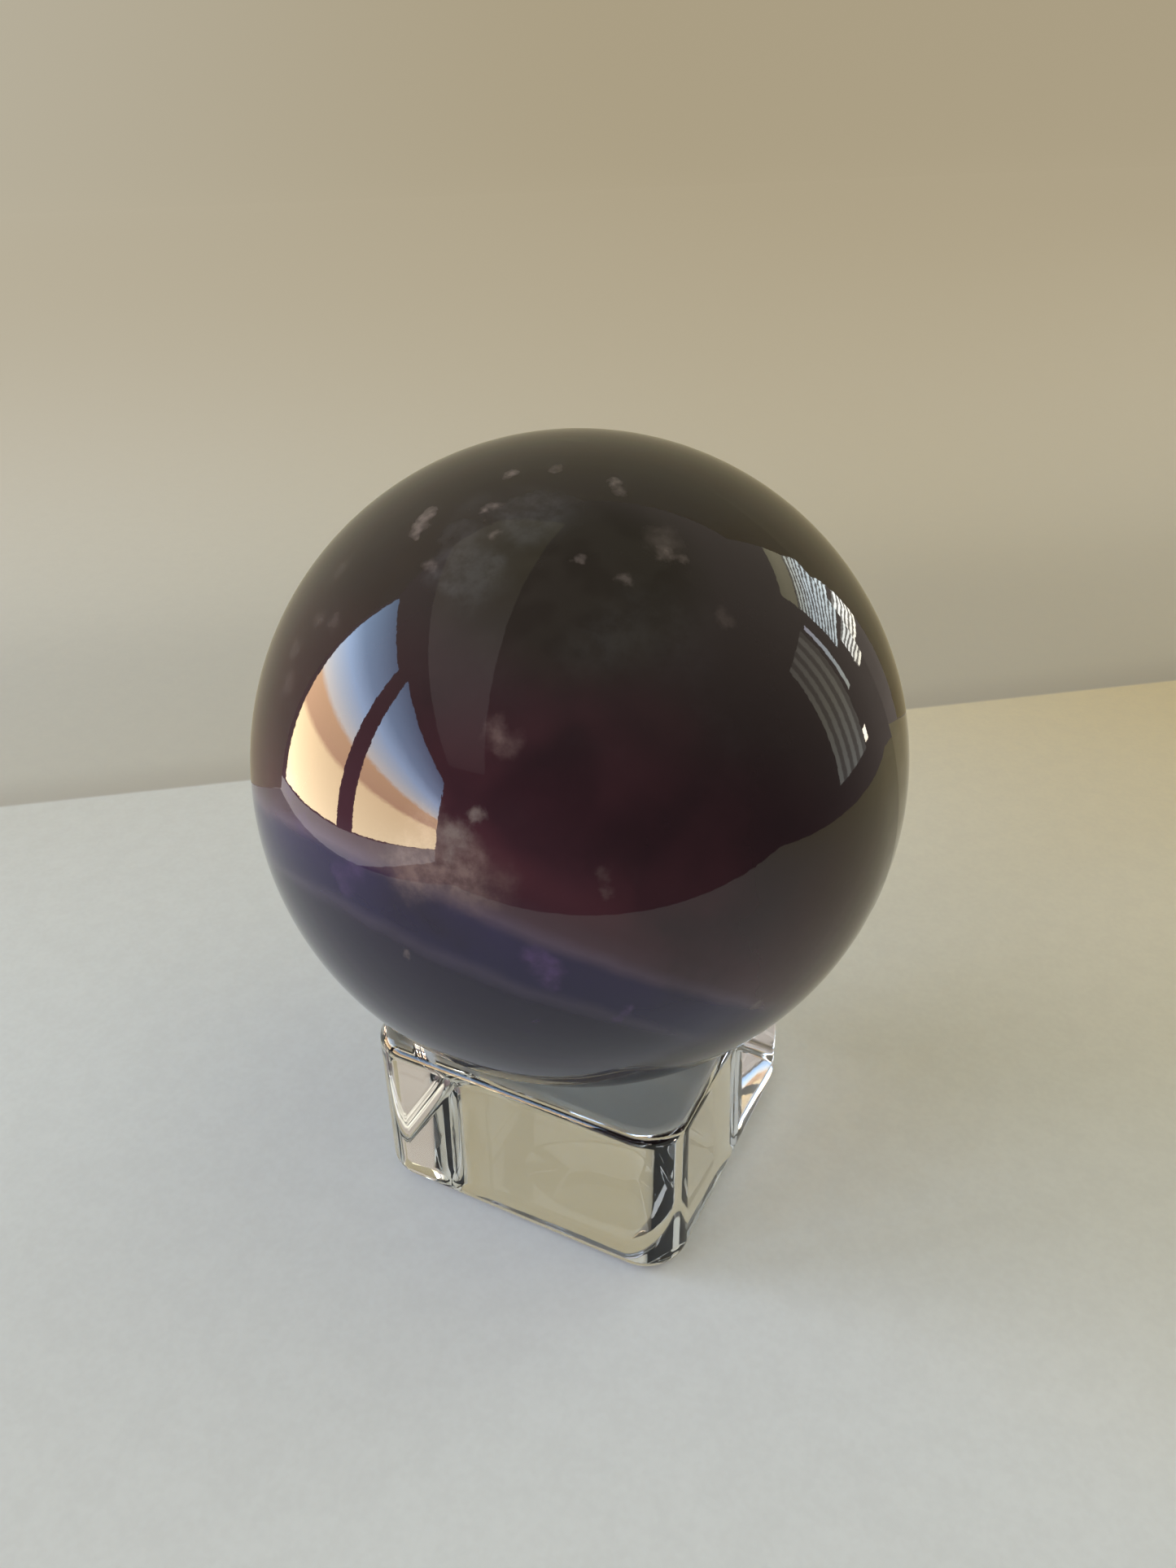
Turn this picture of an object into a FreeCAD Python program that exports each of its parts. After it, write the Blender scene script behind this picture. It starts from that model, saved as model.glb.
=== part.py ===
import FreeCAD, Part
import math
import os
import Sketcher

# A polished stone sphere resting in the shallow seat of a solid pressed-glass block.
# Millimetres, +Z up. The origin is the centre of the block's underside, where it meets the table.

DIMENSIONS = {
    "ball_diameter": 72.0,
    "stand_height": 22.9,
    "top_side": 41.0,           # across the flats at the top face
    "foot_side": 41.5,          # the mould's draft leaves the foot a little wider
    "corner_radius": 5.5,       # the four upright corners
    "top_edge_radius": 2.0,
    "foot_edge_radius": 1.8,
    "seat_depth": 3.1,          # lowest point of the seat below the top face
    "seat_gap": 0.2,            # clearance between the sphere and the seat's curve
    "seat_rim_radius": 0.6,
}
CENTRE_HEIGHT = "dims.stand_height - dims.seat_depth + dims.seat_gap + dims.ball_diameter / 2"
LEVEL_TOLERANCE = 1e-4

os.makedirs("parts", exist_ok=True)
doc = FreeCAD.newDocument("crystal_ball_on_stand")


def make_sheet():
    """Put every driving dimension in one sheet, each in a cell with its own alias."""
    sheet = doc.addObject("Spreadsheet::Sheet", "dims")
    for row, (alias, value) in enumerate(DIMENSIONS.items(), start=1):
        cell = f"B{row}"
        sheet.set(f"A{row}", alias)
        sheet.set(cell, str(value))
        sheet.setAlias(cell, alias)
    doc.recompute()
    return sheet


def new_body(label):
    body = doc.addObject("PartDesign::Body", label)
    body.Label = label
    return body


def origin_feature(body, role):
    """One of the body's own origin planes or axes, such as XY_Plane."""
    for feature in body.Origin.OriginFeatures:
        if feature.Role == role:
            return feature
    raise ValueError(f"no origin feature {role}")


def new_sketch(body, name, role):
    sketch = body.newObject("Sketcher::SketchObject", name)
    sketch.AttachmentSupport = [(origin_feature(body, role), "")]
    sketch.MapMode = "FlatFace"
    return sketch


def draw_square(sketch, size_expression):
    """A square centred on the sketch's origin, its side bound to the sheet."""
    half = 10.0
    corners = [
        FreeCAD.Vector(-half, -half, 0),
        FreeCAD.Vector(half, -half, 0),
        FreeCAD.Vector(half, half, 0),
        FreeCAD.Vector(-half, half, 0),
    ]
    count = len(corners)
    for index in range(count):
        sketch.addGeometry(Part.LineSegment(corners[index], corners[(index + 1) % count]), False)
    for index in range(count):
        sketch.addConstraint(Sketcher.Constraint("Coincident", index, 2, (index + 1) % count, 1))
    for index, direction in enumerate(["Horizontal", "Vertical", "Horizontal", "Vertical"]):
        sketch.addConstraint(Sketcher.Constraint(direction, index))
    sketch.addConstraint(Sketcher.Constraint("Symmetric", 0, 1, 2, 1, -1, 1))
    width = sketch.addConstraint(Sketcher.Constraint("Distance", 0, 2 * half))
    depth = sketch.addConstraint(Sketcher.Constraint("Distance", 1, 2 * half))
    for index, name in ((width, "width"), (depth, "depth")):
        sketch.renameConstraint(index, name)
        sketch.setExpression(f"Constraints.{name}", size_expression)


def draw_half_disc(sketch, radius_expression, centre_expression):
    """Half a disc closed along the sketch's vertical axis, its centre on that axis."""
    radius = 30.0
    height = 50.0
    centre = FreeCAD.Vector(0, height, 0)
    axis = FreeCAD.Vector(0, 0, 1)
    arc = Part.ArcOfCircle(Part.Circle(centre, axis, radius), -math.pi / 2, math.pi / 2)
    bottom = FreeCAD.Vector(0, height - radius, 0)
    top = FreeCAD.Vector(0, height + radius, 0)
    sketch.addGeometry(arc, False)
    sketch.addGeometry(Part.LineSegment(top, bottom), False)
    sketch.addConstraint(Sketcher.Constraint("Coincident", 0, 2, 1, 1))
    sketch.addConstraint(Sketcher.Constraint("Coincident", 0, 1, 1, 2))
    sketch.addConstraint(Sketcher.Constraint("PointOnObject", 0, 3, -2))
    sketch.addConstraint(Sketcher.Constraint("PointOnObject", 1, 1, -2))
    sketch.addConstraint(Sketcher.Constraint("PointOnObject", 1, 2, -2))
    bound = sketch.addConstraint(Sketcher.Constraint("Radius", 0, radius))
    sketch.renameConstraint(bound, "radius")
    sketch.setExpression("Constraints.radius", radius_expression)
    lift = sketch.addConstraint(Sketcher.Constraint("DistanceY", -1, 1, 0, 3, height))
    sketch.renameConstraint(lift, "centre_height")
    sketch.setExpression("Constraints.centre_height", centre_expression)


def turn_fully(body, kind, name, profile):
    """A full-turn Revolution or Groove about the profile sketch's vertical axis."""
    feature = body.newObject(kind, name)
    feature.Profile = profile
    feature.ReferenceAxis = (profile, ["V_Axis"])
    feature.Angle = 360
    doc.recompute()
    return feature


def fillet(body, name, base, radius_expression, wanted):
    """Round every edge of the base feature that the wanted test picks."""
    edges = [f"Edge{index}" for index, edge in enumerate(base.Shape.Edges, start=1) if wanted(edge)]
    feature = body.newObject("PartDesign::Fillet", name)
    feature.Base = (base, edges)
    feature.setExpression("Radius", radius_expression)
    doc.recompute()
    return feature


def at_level(edge, height):
    """True for an edge that lies all the way round at one height."""
    box = edge.BoundBox
    return abs(box.ZMin - height) < LEVEL_TOLERANCE and abs(box.ZMax - height) < LEVEL_TOLERANCE


def upright_faces(feature):
    """The names of the faces that stand on the table's plane."""
    names = []
    for index, face in enumerate(feature.Shape.Faces, start=1):
        if abs(face.normalAt(0, 0).z) < LEVEL_TOLERANCE:
            names.append(f"Face{index}")
    return names


def make_stand(sheet):
    """The glass block: a drafted square pad, rounded all over, with a round seat in its top."""
    body = new_body("glass_stand")
    outline = new_sketch(body, "foot_outline", "XY_Plane")
    draw_square(outline, "dims.foot_side")
    block = body.newObject("PartDesign::Pad", "block")
    block.Profile = outline
    block.setExpression("Length", "dims.stand_height")
    doc.recompute()

    draft = body.newObject("PartDesign::Draft", "mould_draft")
    draft.Base = (block, upright_faces(block))
    draft.NeutralPlane = (origin_feature(body, "XY_Plane"), [""])
    draft.setExpression("Angle", "atan((dims.foot_side - dims.top_side) / 2 / dims.stand_height)")
    doc.recompute()
    if draft.Shape.Volume >= block.Shape.Volume:
        raise RuntimeError("the draft leans outwards")

    corners = fillet(
        body, "upright_corners", draft, "dims.corner_radius",
        lambda edge: edge.BoundBox.ZLength > sheet.stand_height / 2,
    )
    foot = fillet(
        body, "foot_edges", corners, "dims.foot_edge_radius",
        lambda edge: at_level(edge, 0),
    )
    top = fillet(
        body, "top_edges", foot, "dims.top_edge_radius",
        lambda edge: at_level(edge, sheet.stand_height),
    )

    seat_profile = new_sketch(body, "seat_profile", "XZ_Plane")
    draw_half_disc(seat_profile, "dims.ball_diameter / 2 + dims.seat_gap", CENTRE_HEIGHT)
    volume_before = top.Shape.Volume
    seat = turn_fully(body, "PartDesign::Groove", "seat", seat_profile)
    if seat.Shape.Volume >= volume_before:
        raise RuntimeError("the seat removed no glass")
    fillet(
        body, "seat_rim", seat, "dims.seat_rim_radius",
        lambda edge: at_level(edge, sheet.stand_height) and isinstance(edge.Curve, Part.Circle)
        and edge.Curve.Radius > 2 * sheet.corner_radius,
    )
    return body


def make_ball():
    """The solid stone sphere, turned about its upright axis, standing clear of the seat."""
    body = new_body("crystal_ball")
    profile = new_sketch(body, "ball_profile", "XZ_Plane")
    draw_half_disc(profile, "dims.ball_diameter / 2", CENTRE_HEIGHT)
    turn_fully(body, "PartDesign::Revolution", "sphere", profile)
    return body


def check_document(bodies):
    for item in doc.Objects:
        for fault in ("Invalid", "Error"):
            if fault in item.State:
                raise RuntimeError(f"{item.Name} is {item.State}")
    for body in bodies:
        if body.Shape.isNull() or not body.Shape.isValid():
            raise RuntimeError(f"{body.Label} has no valid shape")


sheet = make_sheet()
bodies = [make_stand(sheet), make_ball()]
doc.recompute()
check_document(bodies)
for body in bodies:
    body.Shape.exportStep(f"parts/{body.Label}.step")
    box = body.Shape.optimalBoundingBox(True, False)
    print(f"{body.Label}: {box.XLength:.2f} x {box.YLength:.2f} x {box.ZLength:.2f} mm,"
          f" {body.Shape.Volume / 1000:.2f} cm3, from z = {box.ZMin:.2f}")
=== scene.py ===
import math

import bpy
from mathutils import Matrix, Vector


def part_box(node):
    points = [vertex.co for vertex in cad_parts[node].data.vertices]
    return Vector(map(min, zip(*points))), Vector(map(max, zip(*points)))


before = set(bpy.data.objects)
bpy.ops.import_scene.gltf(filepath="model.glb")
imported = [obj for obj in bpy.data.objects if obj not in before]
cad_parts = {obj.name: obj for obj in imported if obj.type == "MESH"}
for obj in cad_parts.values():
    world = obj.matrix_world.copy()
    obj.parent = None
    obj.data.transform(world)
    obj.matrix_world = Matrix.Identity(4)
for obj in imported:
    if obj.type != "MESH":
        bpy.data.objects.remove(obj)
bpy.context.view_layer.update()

# A polished dark stone ball on a clear pressed-glass block. Metres, +Z up, with the ball's centre above the
# origin. Colours are linear RGB.

BALL_LOW, BALL_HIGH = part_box("crystal_ball")
BALL_RADIUS = (BALL_HIGH.z - BALL_LOW.z) / 2
BALL_CENTRE = Vector((0, 0, (BALL_HIGH.z + BALL_LOW.z) / 2))

# The camera is a phone's main lens held close, looking down over the block's near corner.
CAMERA_FROM_ORIGIN = Vector((0.0541, -0.1016, 0.1238))
CAMERA_AZIMUTH = 27.64
CAMERA_PITCH = 31.69
CAMERA_ROLL = -1.47
LENS = 27.05
SENSOR_LONG_SIDE = 36.0


# ---------------------------------------------------------------- node helpers

class Tree:
    """Short calls for building one node tree."""

    def __init__(self, owner):
        owner.use_nodes = True
        self.nodes = owner.node_tree.nodes
        self.links = owner.node_tree.links

    def add(self, kind, **inputs):
        node = self.nodes.new(kind)
        for name, value in inputs.items():
            self.put(node.inputs[name], value)
        return node

    def put(self, socket, value):
        """Link an output to the socket, or set a plain value on it. A colour has three numbers."""
        if isinstance(value, bpy.types.NodeSocket):
            self.links.new(value, socket)
        elif socket.type == "RGBA":
            socket.default_value = (*value, 1.0)
        else:
            socket.default_value = value

    def math(self, operation, first, second=0.0, clamp=False):
        node = self.nodes.new("ShaderNodeMath")
        node.operation = operation
        node.use_clamp = clamp
        self.put(node.inputs[0], first)
        self.put(node.inputs[1], second)
        return node.outputs[0]

    def vector(self, operation, first, second):
        node = self.nodes.new("ShaderNodeVectorMath")
        node.operation = operation
        self.put(node.inputs[0], first)
        self.put(node.inputs[1], second)
        return node.outputs["Value" if operation in ("DISTANCE", "DOT_PRODUCT") else "Vector"]

    def scaled(self, vector, factor):
        node = self.nodes.new("ShaderNodeVectorMath")
        node.operation = "SCALE"
        self.put(node.inputs[0], vector)
        self.put(node.inputs["Scale"], factor)
        return node.outputs["Vector"]

    def span(self, value, low, high, to_low=0.0, to_high=1.0):
        """Smooth step of value from low to high."""
        node = self.nodes.new("ShaderNodeMapRange")
        node.interpolation_type = "SMOOTHSTEP"
        limits = {"From Min": low, "From Max": high, "To Min": to_low, "To Max": to_high}
        for name, number in limits.items():
            node.inputs[name].default_value = number
        self.put(node.inputs["Value"], value)
        return node.outputs["Result"]

    def noise(self, vector, scale, detail, roughness=0.5, distortion=0.0, output="Fac"):
        node = self.add(
            "ShaderNodeTexNoise",
            Vector=vector, Scale=scale, Detail=detail, Roughness=roughness, Distortion=distortion,
        )
        return node.outputs[output]

    def mix(self, factor, first, second):
        node = self.nodes.new("ShaderNodeMix")
        node.data_type = "RGBA"
        self.put(node.inputs["Factor"], factor)
        colour_a, colour_b = (socket for socket in node.inputs if socket.type == "RGBA")
        self.put(colour_a, first)
        self.put(colour_b, second)
        return next(socket for socket in node.outputs if socket.type == "RGBA")

    def ramp(self, factor, stops):
        node = self.nodes.new("ShaderNodeValToRGB")
        elements = node.color_ramp.elements
        while len(elements) < len(stops):
            elements.new(0.5)
        for element, (place, colour) in zip(elements, stops):
            element.position = place
            element.color = (*colour, 1.0)
        self.put(node.inputs["Fac"], factor)
        return node.outputs["Color"]

    def bump(self, height, strength, distance):
        node = self.add("ShaderNodeBump", Height=height, Strength=strength, Distance=distance)
        return node.outputs["Normal"]

    def object_place(self):
        return self.add("ShaderNodeTexCoord").outputs["Object"]


def new_material(name):
    material = bpy.data.materials.new(name)
    tree = Tree(material)
    return material, tree, tree.nodes["Principled BSDF"]


def dress(node, material):
    """Give every material slot of a CAD node the same new material."""
    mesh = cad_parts[node].data
    if not mesh.materials:
        mesh.materials.append(material)
    for slot in range(len(mesh.materials)):
        mesh.materials[slot] = material


def on_ball(azimuth, elevation):
    """The unit direction from the ball's centre: azimuth 0 faces -Y and 90 faces +X."""
    a, e = math.radians(azimuth), math.radians(elevation)
    return Vector((math.sin(a) * math.cos(e), -math.cos(a) * math.cos(e), math.sin(e)))


# ---------------------------------------------------------------- the stone

# The colour bands lie square to this direction, which points down and to the front. A band's level is how far
# along it the band lies from the ball's centre, in ball radii. Low on the front, the mauve, indigo and lilac
# bands are painted reflection of a shadow lying on the table; the bands above them are the stone's own
# colour.
BAND_AXIS = (-0.128, -0.611, -0.781)

# From 0, where the level is -1, to 1, where the level is +1.
STONE_BANDS_AND_PAINTED_REFLECTION = [
    (0.000, (0.019, 0.015, 0.014)),  # charcoal
    (0.400, (0.020, 0.014, 0.015)),
    (0.560, (0.032, 0.011, 0.017)),  # maroon
    (0.680, (0.050, 0.019, 0.029)),
    (0.706, (0.058, 0.028, 0.042)),
    (0.722, (0.082, 0.056, 0.092)),  # mauve, the painted pale upper edge of the reflected shadow
    (0.736, (0.019, 0.013, 0.056)),  # indigo, painted reflection of a shadow lying on the table
    (0.780, (0.012, 0.009, 0.044)),
    (0.794, (0.036, 0.030, 0.062)),  # thin lilac line, the painted lower edge of the reflected shadow
    (0.808, (0.013, 0.011, 0.030)),  # slate
    (1.000, (0.012, 0.011, 0.025)),
]
VEILS_FADE = (0.40, 0.30)  # no veils at the first level, full veils at the second, which is higher up
SMOKE = (0.010, 0.006, 0.009)
MAROON_VEIL = (0.078, 0.026, 0.036)
CLOUD_GREY = (0.050, 0.048, 0.053)
ROSE = (0.185, 0.135, 0.130)
LILAC = (0.062, 0.036, 0.118)
FLECK_WHITE = (0.190, 0.160, 0.155)
STONE_IOR = 1.5
POLISH = (0.018, 0.045)  # roughness of the clean stone, and where inclusions reach the surface

# Azimuth and elevation of the middle of the maroon veils, and of the side whose inclusions are listed.
VEIL_SIDE = (24, 14)
LISTED_SIDE = (25, 25)

# Inclusions near the surface: azimuth, elevation, half-width in ball radii, strength.
WHITE_FLECKS = [
    (-25.0, 59.4, 0.022, 0.8), (-26.0, 61.3, 0.026, 0.8), (-27.8, 63.4, 0.022, 0.8),
    (-13.7, 76.1, 0.018, 0.9), (-7.0, 67.2, 0.014, 0.8), (-4.2, 68.5, 0.016, 0.7),
    (51.1, 74.2, 0.018, 1.0), (51.2, 72.0, 0.020, 0.5), (28.9, 59.4, 0.015, 0.8),
    (54.5, 60.7, 0.045, 0.35), (53.2, 58.3, 0.022, 0.9), (57.0, 56.9, 0.016, 0.7),
    (40.5, 55.3, 0.018, 0.5), (2.8, 63.0, 0.015, 0.5), (-11.2, 55.4, 0.020, 0.5),
    (12.5, 22.1, 0.022, 0.9), (8.6, 19.2, 0.040, 1.0), (8.5, 16.2, 0.020, 0.8),
    (10.6, 18.6, 0.030, 0.8), (-34.0, 40.4, 0.026, 0.22), (-28.4, 42.0, 0.026, 0.22),
    (-36.7, 34.5, 0.030, 0.20), (-33.3, 30.2, 0.034, 0.18), (31.1, 14.8, 0.018, 0.22),
    (31.4, 12.4, 0.018, 0.28), (59.3, 46.7, 0.022, 0.25), (16.5, 79.3, 0.022, 0.4),
    (55.8, -15.6, 0.018, 0.4), (1.3, -1.4, 0.014, 0.4), (-40.0, 48.0, 0.030, 0.15),
    (-50.0, 30.0, 0.030, 0.15),
]
SMOKY_CLOUDS = [
    (9.0, 66.5, 0.070, 0.8), (12.0, 69.5, 0.075, 0.8), (20.2, 69.0, 0.070, 0.7),
    (14.6, 64.7, 0.060, 0.8), (-2.7, 56.8, 0.075, 0.8), (3.5, 54.3, 0.080, 0.9),
    (6.9, 58.3, 0.030, 0.8), (-10.6, 61.9, 0.050, 0.5), (36.4, 47.7, 0.080, 0.25),
    (30.0, 46.0, 0.080, 0.25), (-12.0, 68.0, 0.060, 0.4), (47.0, 47.0, 0.120, 0.3),
    (2.0, 61.0, 0.110, 0.25), (-46.0, 24.0, 0.100, 0.3),
]
ROSY_CLOUDS = [
    (9.0, 16.0, 0.075, 1.0), (5.0, 17.5, 0.075, 1.0), (12.0, 13.0, 0.085, 0.6),
    (2.0, 14.0, 0.080, 0.8), (15.0, 34.0, 0.030, 0.5), (17.5, 32.5, 0.035, 0.4),
    (13.5, 36.0, 0.022, 0.4),
]
LILAC_VEINS = [
    (20.6, 2.2, 0.030, 0.8), (22.0, 0.6, 0.035, 1.0), (23.6, -0.4, 0.028, 0.9),
    (22.6, -2.4, 0.025, 0.8), (32.2, -10.6, 0.014, 0.6), (33.4, -9.3, 0.016, 0.7),
    (34.0, -8.2, 0.012, 0.6), (-10.8, 8.6, 0.030, 0.5), (-7.5, 9.9, 0.035, 0.6),
    (-9.0, 6.4, 0.025, 0.5), (-20.0, 12.5, 0.040, 0.4), (-24.0, 17.0, 0.040, 0.4),
    (20.3, -11.0, 0.012, 0.25), (19.2, -14.0, 0.012, 0.25), (17.8, -17.5, 0.014, 0.25),
]
SPOT_FADE = (1.5, 0.25)  # a spot fades from nothing to full between these multiples of its half-width


def spots(tree, place, listed):
    """The summed strength at place of soft round spots on the ball."""
    outer, inner = SPOT_FADE
    total = 0.0
    for azimuth, elevation, width, strength in listed:
        away = tree.vector("DISTANCE", place, tuple(on_ball(azimuth, elevation)))
        total = tree.math("ADD", tree.span(away, width * outer, width * inner, 0.0, strength), total)
    return tree.math("MINIMUM", total, 1.0)


def stone_material():
    material, tree, shader = new_material("polished_stone")
    place = tree.vector("SUBTRACT", tree.object_place(), tuple(BALL_CENTRE))
    unit = tree.scaled(place, 1 / BALL_RADIUS)

    def shaken(scale, amount, detail=4.0):
        """The place in ball radii, shifted about by noise, so that what is drawn there has ragged edges."""
        shake = tree.vector("SUBTRACT", tree.noise(unit, scale, detail, 0.6, output="Color"), (0.5, 0.5, 0.5))
        return tree.vector("ADD", unit, tree.scaled(shake, amount))

    def product(first, second, clamp=False):
        return tree.math("MULTIPLY", first, second, clamp)

    level = tree.vector("DOT_PRODUCT", shaken(2.5, 0.06), BAND_AXIS)
    bands_and_painted_reflection = tree.ramp(product(tree.math("ADD", level, 1.0), 0.5), STONE_BANDS_AND_PAINTED_REFLECTION)
    smoke = tree.noise(shaken(1.4, 0.5), 1.7, 5.0, 0.55)
    body = tree.mix(tree.span(smoke, 0.38, 0.78, 0.0, 0.7), bands_and_painted_reflection, SMOKE)

    # Folded maroon veils show through the middle, above the indigo.
    heart = tree.span(tree.vector("DISTANCE", unit, tuple(on_ball(*VEIL_SIDE))), 0.62, 0.18)
    above_indigo = tree.span(level, *VEILS_FADE)
    folds = tree.noise(shaken(2.2, 0.25, 2.0), 3.0, 1.5, 0.45, 0.4)
    veils = product(product(heart, above_indigo), tree.span(folds, 0.42, 0.68, 0.0, 0.55))
    veiled = tree.mix(veils, body, MAROON_VEIL)

    # Away from the listed inclusions' side the stone goes on with clouds and chips of the same kind.
    far_side = tree.span(tree.vector("DOT_PRODUCT", unit, tuple(on_ball(*LISTED_SIDE))), 0.10, -0.25)
    wisps = tree.span(tree.noise(shaken(3.0, 0.4), 3.4, 6.0, 0.62), 0.49, 0.68)
    haze = tree.span(tree.noise(shaken(3.0, 0.3), 5.0, 5.0, 0.6), 0.50, 0.80, 0.0, 0.12)
    chips = tree.span(tree.noise(shaken(9.0, 0.10), 8.5, 2.0), 0.665, 0.73, 0.0, 0.8)
    grain = tree.span(tree.noise(unit, 24.0, 5.0, 0.6), 0.30, 0.70, 0.35, 1.0)

    listed_clouds = spots(tree, shaken(6.0, 0.14), SMOKY_CLOUDS)
    clouds = tree.math("ADD", tree.math("MAXIMUM", listed_clouds, product(wisps, far_side)), haze)
    cloudy = tree.mix(product(clouds, grain, clamp=True), veiled, CLOUD_GREY)
    rosy = product(spots(tree, shaken(9.0, 0.12), ROSY_CLOUDS), grain)
    blushed = tree.mix(rosy, cloudy, ROSE)
    lilac = product(spots(tree, shaken(16.0, 0.06), LILAC_VEINS), grain)
    veined = tree.mix(lilac, blushed, LILAC)
    listed_flecks = spots(tree, shaken(20.0, 0.07), WHITE_FLECKS)
    flecks = product(tree.math("MAXIMUM", listed_flecks, product(chips, far_side)), grain)
    tree.put(shader.inputs["Base Color"], tree.mix(flecks, veined, FLECK_WHITE))

    # The polish is a little less perfect where inclusions reach the surface.
    inclusions = tree.math("ADD", flecks, clouds)
    tree.put(shader.inputs["Roughness"], tree.span(inclusions, 0.0, 1.5, *POLISH))
    shader.inputs["IOR"].default_value = STONE_IOR
    tree.put(shader.inputs["Normal"], tree.bump(tree.noise(unit, 60.0, 2.0), strength=0.004, distance=0.0005))
    return material


# ---------------------------------------------------------------- the glass

GLASS_CLEAR = (0.985, 0.995, 0.985)
GLASS_GREENISH = (0.965, 0.985, 0.970)
GLASS_IOR = 1.52


def glass_material():
    material, tree, shader = new_material("clear_glass")
    place = tree.object_place()
    cast = tree.span(tree.noise(place, 55.0, 2.0), 0.3, 0.7)
    tree.put(shader.inputs["Base Color"], tree.mix(cast, GLASS_CLEAR, GLASS_GREENISH))
    shader.inputs["Transmission Weight"].default_value = 1.0
    shader.inputs["IOR"].default_value = GLASS_IOR
    shader.inputs["Roughness"].default_value = 0.0
    # Pressed glass keeps the slow waves of the cooled mould.
    waves = tree.noise(place, 60.0, 0.0)
    ripple = tree.math("MULTIPLY", tree.noise(place, 320.0, 2.0), 0.03)
    height = tree.math("ADD", waves, ripple)
    tree.put(shader.inputs["Normal"], tree.bump(height, strength=0.12, distance=0.0006))
    return material


# ---------------------------------------------------------------- the studio

# The seam is the straight line where the white sheet meets the backdrop. Places on the floor are given as the
# distance along the seam, to the right, and the distance out from it, towards the camera.
SEAM_POINT = Vector((-0.0405, 0.0955, 0))
SEAM_NORMAL = Vector((0.602, -0.799, 0)).normalized()
SEAM_ALONG = Vector((-SEAM_NORMAL.y, SEAM_NORMAL.x, 0))
SHEET_LEFT, SHEET_RIGHT, SHEET_FRONT = -0.235, 0.220, 0.300
SHEET_GAP = 0.00025
FLOOR_REACH = 4.0
SWEEP_START, SWEEP_RADIUS, SWEEP_TOP = -1.2, 0.9, 2.6
SURROUND_TOP = 8.0
CARD_LEFT, CARD_RIGHT, CARD_TOP = -0.24, 0.172, 0.270

TABLE_COOL_PAINTED_LIGHT = (0.800, 0.860, 0.885)
TABLE_WARM_PAINTED_LIGHT = (0.780, 0.700, 0.460)
BACKDROP_LEFT_PAINTED_LIGHT = (0.620, 0.635, 0.620)
BACKDROP_RIGHT_PAINTED_LIGHT = (0.520, 0.485, 0.400)
BACKDROP_UNLIT = (0.03, 0.03, 0.03)
GLOW_LEFT = (0.51, 0.47, 0.37)
GLOW_RIGHT = (0.42, 0.355, 0.235)
GLOW_STRENGTH = 0.92
SEAM_EDGE = 0.0006  # half the width over which one sheet gives way to the other
SEAM_SHADE = (0.25, 0.22, 0.19)
SEAM_SHADE_WIDTH, SEAM_SHADE_AMOUNT = 0.014, 0.22
PAPER_SPECK = (0.42, 0.42, 0.43)
PAPER_DULL = (0.5, 0.5, 0.5)
CARD_COLOURS = (0.72, 0.710, 0.560), (0.70, 0.660, 0.470)
SURROUND_LOW = (0.47, 0.435, 0.345)
SURROUND_HIGH = (0.42, 0.375, 0.280)


def at_seam(along, out, rise=0.0):
    return SEAM_POINT + SEAM_ALONG * along + SEAM_NORMAL * out + Vector((0, 0, rise))


def stage_mesh(name, points, faces, material, smooth=False):
    mesh = bpy.data.meshes.new(name)
    mesh.from_pydata([tuple(point) for point in points], [], faces)
    mesh.materials.append(material)
    if smooth:
        mesh.shade_smooth()
    item = bpy.data.objects.new(name, mesh)
    bpy.context.scene.collection.objects.link(item)
    return item


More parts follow.
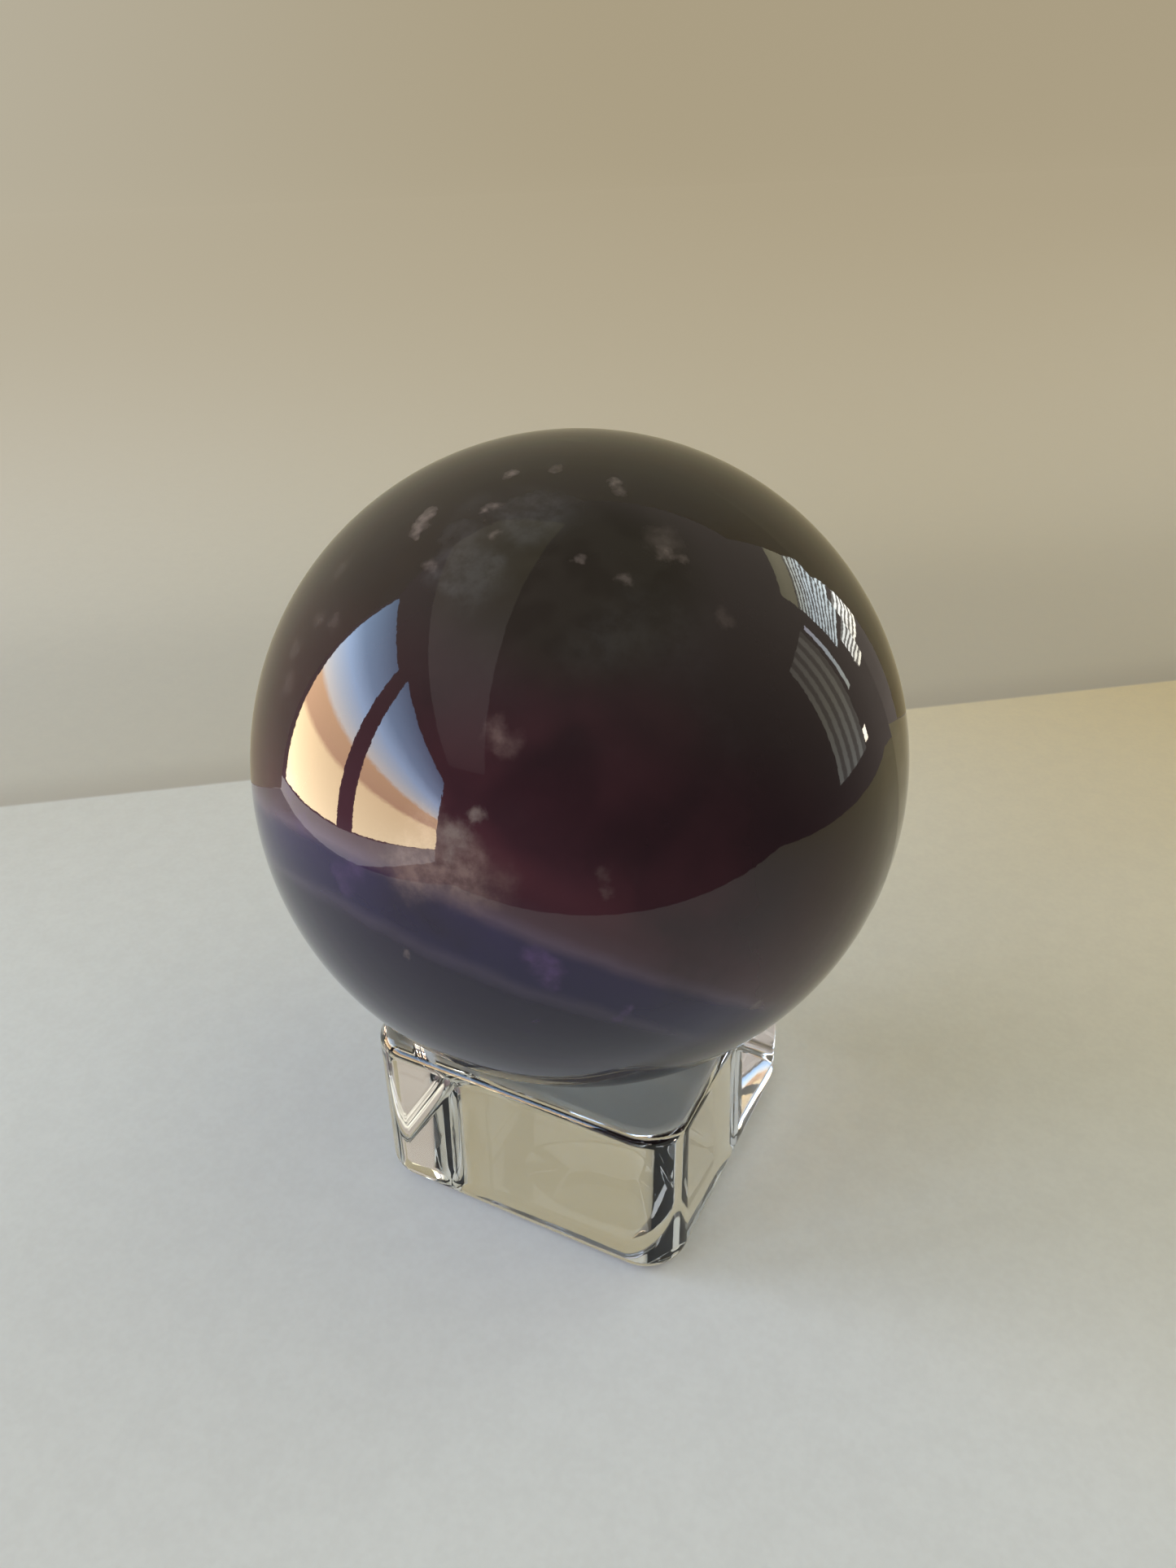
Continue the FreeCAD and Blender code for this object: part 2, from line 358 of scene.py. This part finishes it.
def paper_material():
    """The white table sheet, the backdrop behind the seam, and painted light on them: a cool to warm tint on
    the table, a backdrop lighter at the left and warm at the right, a soft painted shadow along the seam and
    a painted glow far behind.
    """
    material, tree, shader = new_material("paper")
    place = tree.object_place()
    from_seam = tree.vector("SUBTRACT", place, tuple(SEAM_POINT))
    out = tree.vector("DOT_PRODUCT", from_seam, tuple(SEAM_NORMAL))
    along = tree.vector("DOT_PRODUCT", from_seam, tuple(SEAM_ALONG))

    # Painted light on the table: cool at the left and front, from the window, and warm at the right and back,
    # from the room.
    warm_painted_light = tree.span(tree.math("SUBTRACT", along, tree.math("MULTIPLY", out, 0.6)), -0.10, 0.16)
    table = tree.mix(warm_painted_light, TABLE_COOL_PAINTED_LIGHT, TABLE_WARM_PAINTED_LIGHT)
    # Painted light on the backdrop: lighter and greyer at the left, towards the window, and darker and warmer
    # at the right.
    backdrop = tree.mix(tree.span(along, -0.25, 0.15), BACKDROP_LEFT_PAINTED_LIGHT, BACKDROP_RIGHT_PAINTED_LIGHT)
    both = tree.mix(tree.span(out, -SEAM_EDGE, SEAM_EDGE), backdrop, table)
    behind = tree.span(out, -SEAM_SHADE_WIDTH, 0.0)
    line = tree.math("MULTIPLY", behind, tree.span(out, SEAM_EDGE, -0.0004))
    shaded = tree.mix(tree.math("MULTIPLY", line, SEAM_SHADE_AMOUNT), both, SEAM_SHADE)

    # The paper's fibres, and a slow unevenness.
    fine = tree.math("MULTIPLY", tree.noise(place, 1100.0, 4.0), 0.5)
    coarse = tree.math("MULTIPLY", tree.noise(place, 240.0, 3.0), 0.5)
    fibres = tree.math("ADD", fine, coarse)
    speckled = tree.mix(tree.span(fibres, 0.3, 0.7, 0.0, 0.10), shaded, PAPER_SPECK)
    slow = tree.noise(place, 9.0, 2.0)
    uneven = tree.mix(tree.span(slow, 0.3, 0.7, 0.0, 0.05), speckled, PAPER_DULL)

    # Far behind the seam the window's light falls off; there the base colour goes dark and the backdrop glows
    # instead, with painted light that is lighter at the left and warmer at the right.
    front = 0.2
    gap = tree.math("MAXIMUM", tree.math("SUBTRACT", front, out), front / 2)
    nearness = tree.math("DIVIDE", front, gap)
    distant = tree.span(nearness, 0.70, 0.15)
    tree.put(shader.inputs["Base Color"], tree.mix(distant, uneven, BACKDROP_UNLIT))
    glow = tree.mix(tree.span(along, -0.9, 0.4), GLOW_LEFT, GLOW_RIGHT)
    tree.put(shader.inputs["Emission Color"], glow)
    tree.put(shader.inputs["Emission Strength"], tree.span(nearness, 0.80, 0.18, 0.0, GLOW_STRENGTH))

    shader.inputs["Roughness"].default_value = 0.85
    shader.inputs["Specular IOR Level"].default_value = 0.2
    tree.put(shader.inputs["Normal"], tree.bump(fibres, strength=0.15, distance=0.0002))
    return material


def make_floor(paper):
    """One level floor, whose middle panel, the white sheet, is the only part that shows in reflections."""
    columns = [-FLOOR_REACH, SHEET_LEFT, SHEET_RIGHT, FLOOR_REACH]
    rows = [SWEEP_START, 0.0, SHEET_FRONT, FLOOR_REACH]
    width = len(columns)
    points = [at_seam(along, out, -SHEET_GAP) for out in rows for along in columns]
    faces = {}
    for row in range(len(rows) - 1):
        for column in range(width - 1):
            first = width * row + column
            faces[row, column] = (first, first + 1, first + width + 1, first + width)
    middle = faces.pop((1, 1))
    stage_mesh("white_sheet", points, [middle], paper)
    around = stage_mesh("floor_around", points, list(faces.values()), paper)
    around.visible_glossy = False


def make_sweep(paper):
    """The backdrop runs on level behind the seam, then curves up into a wall well behind the object."""
    steps = 24
    profile = []
    for step in range(steps + 1):
        turn = math.pi / 2 * step / steps
        out = SWEEP_START - SWEEP_RADIUS * math.sin(turn)
        profile.append((out, SWEEP_RADIUS * (1 - math.cos(turn)) - SHEET_GAP))
    profile.append((SWEEP_START - SWEEP_RADIUS, SWEEP_TOP))
    points = [at_seam(side, out, rise) for out, rise in profile for side in (-FLOOR_REACH, FLOOR_REACH)]
    faces = [(2 * i, 2 * i + 1, 2 * i + 3, 2 * i + 2) for i in range(len(profile) - 1)]
    sweep = stage_mesh("backdrop_sweep", points, faces, paper, smooth=True)
    sweep.visible_glossy = False


def make_surround():
    """A pale wall all round, far off, that ends every view. Only the camera sees it, so it lights nothing."""
    material, tree, shader = new_material("surround")
    place = tree.object_place()
    height = tree.add("ShaderNodeSeparateXYZ", Vector=place).outputs["Z"]
    uneven = tree.math("ADD", height, tree.math("MULTIPLY", tree.noise(place, 0.6, 2.0), 0.8))
    shader.inputs["Base Color"].default_value = (0, 0, 0, 1)
    shader.inputs["Specular IOR Level"].default_value = 0.0
    shade = tree.mix(tree.span(uneven, 0.2, 3.5), SURROUND_LOW, SURROUND_HIGH)
    tree.put(shader.inputs["Emission Color"], shade)
    shader.inputs["Emission Strength"].default_value = 1.0
    sides = 64
    points = []
    for side in range(sides):
        turn = 2 * math.pi * side / sides
        along, out = FLOOR_REACH * math.cos(turn), FLOOR_REACH * math.sin(turn)
        points += [at_seam(along, out, -SHEET_GAP), at_seam(along, out, SURROUND_TOP)]
    count = len(points)
    faces = [(i, (i + 2) % count, (i + 3) % count, i + 1) for i in range(0, count, 2)]
    wall = stage_mesh("surround", points, faces, material, smooth=True)
    for ray in ("diffuse", "glossy", "transmission", "volume_scatter", "shadow"):
        setattr(wall, f"visible_{ray}", False)


def make_bounce_card():
    """A warm white card on the seam, as the wall close behind the glass and the stone. The camera doesn't see
    it and it casts no shadow.
    """
    material, tree, shader = new_material("card")
    shade = tree.span(tree.noise(tree.object_place(), 6.0, 2.0), 0.3, 0.7)
    tree.put(shader.inputs["Base Color"], tree.mix(shade, *CARD_COLOURS))
    shader.inputs["Roughness"].default_value = 0.9
    corners = [(CARD_LEFT, 0), (CARD_RIGHT, 0), (CARD_RIGHT, CARD_TOP), (CARD_LEFT, CARD_TOP)]
    points = [at_seam(along, 0, rise) for along, rise in corners]
    card = stage_mesh("bounce_card", points, [(0, 1, 2, 3)], material)
    card.visible_camera = False
    card.visible_shadow = False


# ---------------------------------------------------------------- the lights

# How much of a panel's light is left where a slat covers it, and in the folds of a curtain.
SLAT_SHADE = 0.12
PLEAT_SHADE = 0.35


def pane(name, centre, facing, width, height, strength, stops, slats=0, pleats=0):
    """One soft light panel. stops colour it from its foot up; slats run across it and pleats run up it."""
    lamp = bpy.data.lights.new(name, "AREA")
    lamp.shape = "RECTANGLE"
    lamp.size = width
    lamp.size_y = height
    lamp.energy = strength * width * height * math.pi
    item = bpy.data.objects.new(name, lamp)
    bpy.context.scene.collection.objects.link(item)
    item.location = centre
    item.rotation_mode = "QUATERNION"
    item.rotation_quaternion = Vector(facing).to_track_quat("-Z", "Y")
    item.visible_camera = False
    tree = Tree(lamp)
    emission = tree.nodes["Emission"]
    across = tree.add("ShaderNodeNewGeometry").outputs["Parametric"]
    place = tree.add("ShaderNodeSeparateXYZ", Vector=across)
    tree.put(emission.inputs["Color"], tree.ramp(place.outputs["Y"], stops))
    for count, way, shade in ((slats, "Y", SLAT_SHADE), (pleats, "X", PLEAT_SHADE)):
        if count:
            turns = tree.math("MULTIPLY", place.outputs[way], 2 * math.pi * count)
            stripes = tree.span(tree.math("SINE", turns), -0.5, 0.5, shade, 1.0)
            tree.put(emission.inputs["Strength"], stripes)
    return item


# Panel colours, from the foot up.
OUTDOORS = [
    (0.00, (1.0, 0.79, 0.48)),   # pale ground
    (0.27, (0.95, 0.70, 0.40)),
    (0.30, (0.55, 0.33, 0.19)),  # a brown band
    (0.42, (0.62, 0.38, 0.21)),
    (0.45, (0.66, 0.62, 0.58)),  # haze
    (0.52, (0.50, 0.56, 0.64)),
    (0.62, (0.34, 0.48, 0.70)),  # sky
    (0.74, (0.17, 0.27, 0.42)),
    (1.00, (0.07, 0.12, 0.20)),
]
SILL = [(0.0, (0.9, 0.9, 0.92)), (0.5, (1.0, 0.98, 0.96)), (1.0, (0.9, 0.88, 0.86))]
PLASTER = [
    (0.0, (0.30, 0.27, 0.26)),
    (0.5, (0.78, 0.72, 0.70)),
    (0.7, (0.72, 0.67, 0.62)),
    (0.85, (0.40, 0.38, 0.20)),
]
VALANCE = [(0.0, (0.70, 0.66, 0.40)), (0.5, (0.75, 0.70, 0.42)), (1.0, (0.60, 0.58, 0.34))]
DAYLIGHT = [(0.0, (0.85, 0.98, 1.0)), (0.6, (0.80, 0.95, 1.0)), (1.0, (0.62, 0.66, 0.55))]
SUNLIT = [(0.0, (1.0, 0.95, 0.78)), (0.5, (1.0, 1.0, 0.92)), (1.0, (0.95, 1.0, 0.95))]
COOL_WHITE = [(0.0, (0.80, 0.85, 0.75)), (0.5, (0.85, 0.95, 1.0)), (1.0, (0.85, 0.85, 1.0))]
CURTAIN = [(0.0, (0.80, 0.84, 0.78)), (0.5, (0.75, 0.74, 0.58)), (1.0, (0.60, 0.58, 0.50))]
LAMPLIGHT = [(0.0, (1.0, 0.86, 0.66)), (0.5, (1.0, 0.92, 0.80)), (1.0, (1.0, 0.90, 0.72))]
WARM_WALL = [(0.0, (1.0, 0.88, 0.55)), (1.0, (1.0, 0.88, 0.55))]

# The window wall is set out on a plane this near, then scaled up about the ball's centre to its distance.
WINDOW_PLANE, WINDOW_DISTANCE = 0.45, 1.2
WINDOW_FOOT = -0.050
WINDOW_STRENGTH = 13.5
SILL_FOOT, SILL_HEAD, SILL_WIDTH, SILL_STRENGTH = -0.150, -0.054, 1.4, 1.8
CEILING_RISE, CEILING_RIGHT, CEILING_MIDDLE, CEILING_LENGTH = 0.63, -0.33, -1.6, 4.2
CEILING_STRENGTH = 0.55


def make_window():
    """Two tall window panes to the left, with a dim sill below them and the pale ceiling above."""
    scale = WINDOW_DISTANCE / WINDOW_PLANE

    def height(rise):
        return BALL_CENTRE.z + scale * (rise - BALL_CENTRE.z)

    def on_wall(name, near, far, foot, head, strength, stops):
        centre = Vector((-WINDOW_DISTANCE, -scale * (near + far) / 2, (height(foot) + height(head)) / 2))
        pane(name, centre, (1, 0, 0), scale * (far - near), scale * (head - foot), strength, stops)

    on_wall("window_near_pane", 0.07, 0.325, WINDOW_FOOT, 0.44, WINDOW_STRENGTH, OUTDOORS)
    on_wall("window_far_pane", 0.41, 1.40, WINDOW_FOOT, 0.48, WINDOW_STRENGTH, OUTDOORS)
    on_wall("window_sill", 0, SILL_WIDTH, SILL_FOOT, SILL_HEAD, SILL_STRENGTH, SILL)
    centre = Vector(((CEILING_RIGHT - WINDOW_DISTANCE) / 2, CEILING_MIDDLE, height(CEILING_RISE)))
    width = CEILING_RIGHT + WINDOW_DISTANCE
    pane("ceiling", centre, (0, 0, -1), width, CEILING_LENGTH, CEILING_STRENGTH, PLASTER)


# Name, left and right azimuth, low and high elevation, strength, colours, slats and pleats.
BLIND_PANELS = [
    ("blind_valance", 141, 163, 25.5, 31.0, 1.6, VALANCE, 0, 0),
    ("blind_upper", 141, 163, 11.5, 25.3, 6.0, DAYLIGHT, 12, 0),
    ("blind_lower", 145, 163, 2.5, 10.0, 7.5, SUNLIT, 6, 0),
    ("reveal", 134.7, 136.3, 5.0, 23.5, 3.6, COOL_WHITE, 0, 0),
    ("curtain", 117, 133, -8.0, 25.0, 1.3, CURTAIN, 0, 4),
    ("far_lamp", 133.5, 135.6, -7.0, -4.0, 12.0, LAMPLIGHT, 0, 0),
]


def make_blinds():
    """A window behind to the right, seen through level slats, with a curtain and a small lamp beside it.

    Each panel stands 1 m from the ball's centre.
    """
    for name, left, right, low, high, strength, stops, slats, pleats in BLIND_PANELS:
        foot, head = math.tan(math.radians(low)), math.tan(math.radians(high))
        middle = on_ball((left + right) / 2, 0)
        width = 2 * math.tan(math.radians(right - left) / 2)
        centre = BALL_CENTRE + middle + Vector((0, 0, (foot + head) / 2))
        pane(name, centre, -middle, width, head - foot, strength, stops, slats, pleats)


FILL_FROM = (100, 50)
FILL_SIDE, FILL_REACH, FILL_STRENGTH = 1.5, 1.5, 0.58


def make_room_fill():
    """The warm light that the room's walls throw back onto the table. It shows in no reflection."""
    way = on_ball(*FILL_FROM)
    centre = BALL_CENTRE + way * FILL_REACH
    fill = pane("room_fill", centre, -way, FILL_SIDE, FILL_SIDE, FILL_STRENGTH, WARM_WALL)
    fill.visible_glossy = False
    fill.visible_transmission = False


WALLS_BRIGHT_SIDE = (207, 40)
WALLS_DIM = (0.16, 0.110, 0.115)
WALLS_BRIGHT = (0.55, 0.48, 0.40)
OLIVE_DARK = (0.27, 0.262, 0.165)
OLIVE_LIGHT = (0.36, 0.345, 0.230)


def make_room_light():
    """A dim room: beige above and behind the object, darker in front and low down, patchy olive overhead."""
    world = bpy.data.worlds.new("studio")
    bpy.context.scene.world = world
    tree = Tree(world)
    way = tree.add("ShaderNodeTexCoord").outputs["Generated"]
    lift = tree.vector("DOT_PRODUCT", way, tuple(on_ball(*WALLS_BRIGHT_SIDE)))
    walls = tree.mix(tree.span(lift, -0.5, 0.9), WALLS_DIM, WALLS_BRIGHT)
    overhead = tree.span(tree.vector("DOT_PRODUCT", way, (0, 0, 1)), 0.72, 0.94)
    patches = tree.span(tree.noise(way, 5.0, 1.0), 0.40, 0.60)
    olive = tree.mix(patches, OLIVE_DARK, OLIVE_LIGHT)
    tree.put(tree.nodes["Background"].inputs["Color"], tree.mix(overhead, walls, olive))


# ---------------------------------------------------------------- the camera and the measures

def make_camera():
    camera = bpy.data.cameras.new("camera")
    camera.sensor_fit = "AUTO"
    camera.sensor_width = SENSOR_LONG_SIDE
    camera.lens = LENS
    camera.clip_start = 0.005
    camera.clip_end = 50
    item = bpy.data.objects.new("camera", camera)
    bpy.context.scene.collection.objects.link(item)
    a, p, r = (math.radians(x) for x in (CAMERA_AZIMUTH, CAMERA_PITCH, CAMERA_ROLL))
    back = Vector((math.sin(a) * math.cos(p), -math.cos(a) * math.cos(p), math.sin(p)))
    level = Vector((math.cos(a), math.sin(a), 0))
    up = back.cross(level)
    right = level * math.cos(r) + up * math.sin(r)
    top = up * math.cos(r) - level * math.sin(r)
    turn = Matrix((right, top, back)).transposed()
    item.matrix_world = Matrix.Translation(CAMERA_FROM_ORIGIN) @ turn.to_4x4()
    bpy.context.scene.camera = item


dress("crystal_ball", stone_material())
dress("glass_stand", glass_material())
paper = paper_material()
make_floor(paper)
make_sweep(paper)
make_surround()
make_bounce_card()
make_window()
make_blinds()
make_room_fill()
make_room_light()
make_camera()
bpy.context.scene.view_settings.view_transform = "Standard"
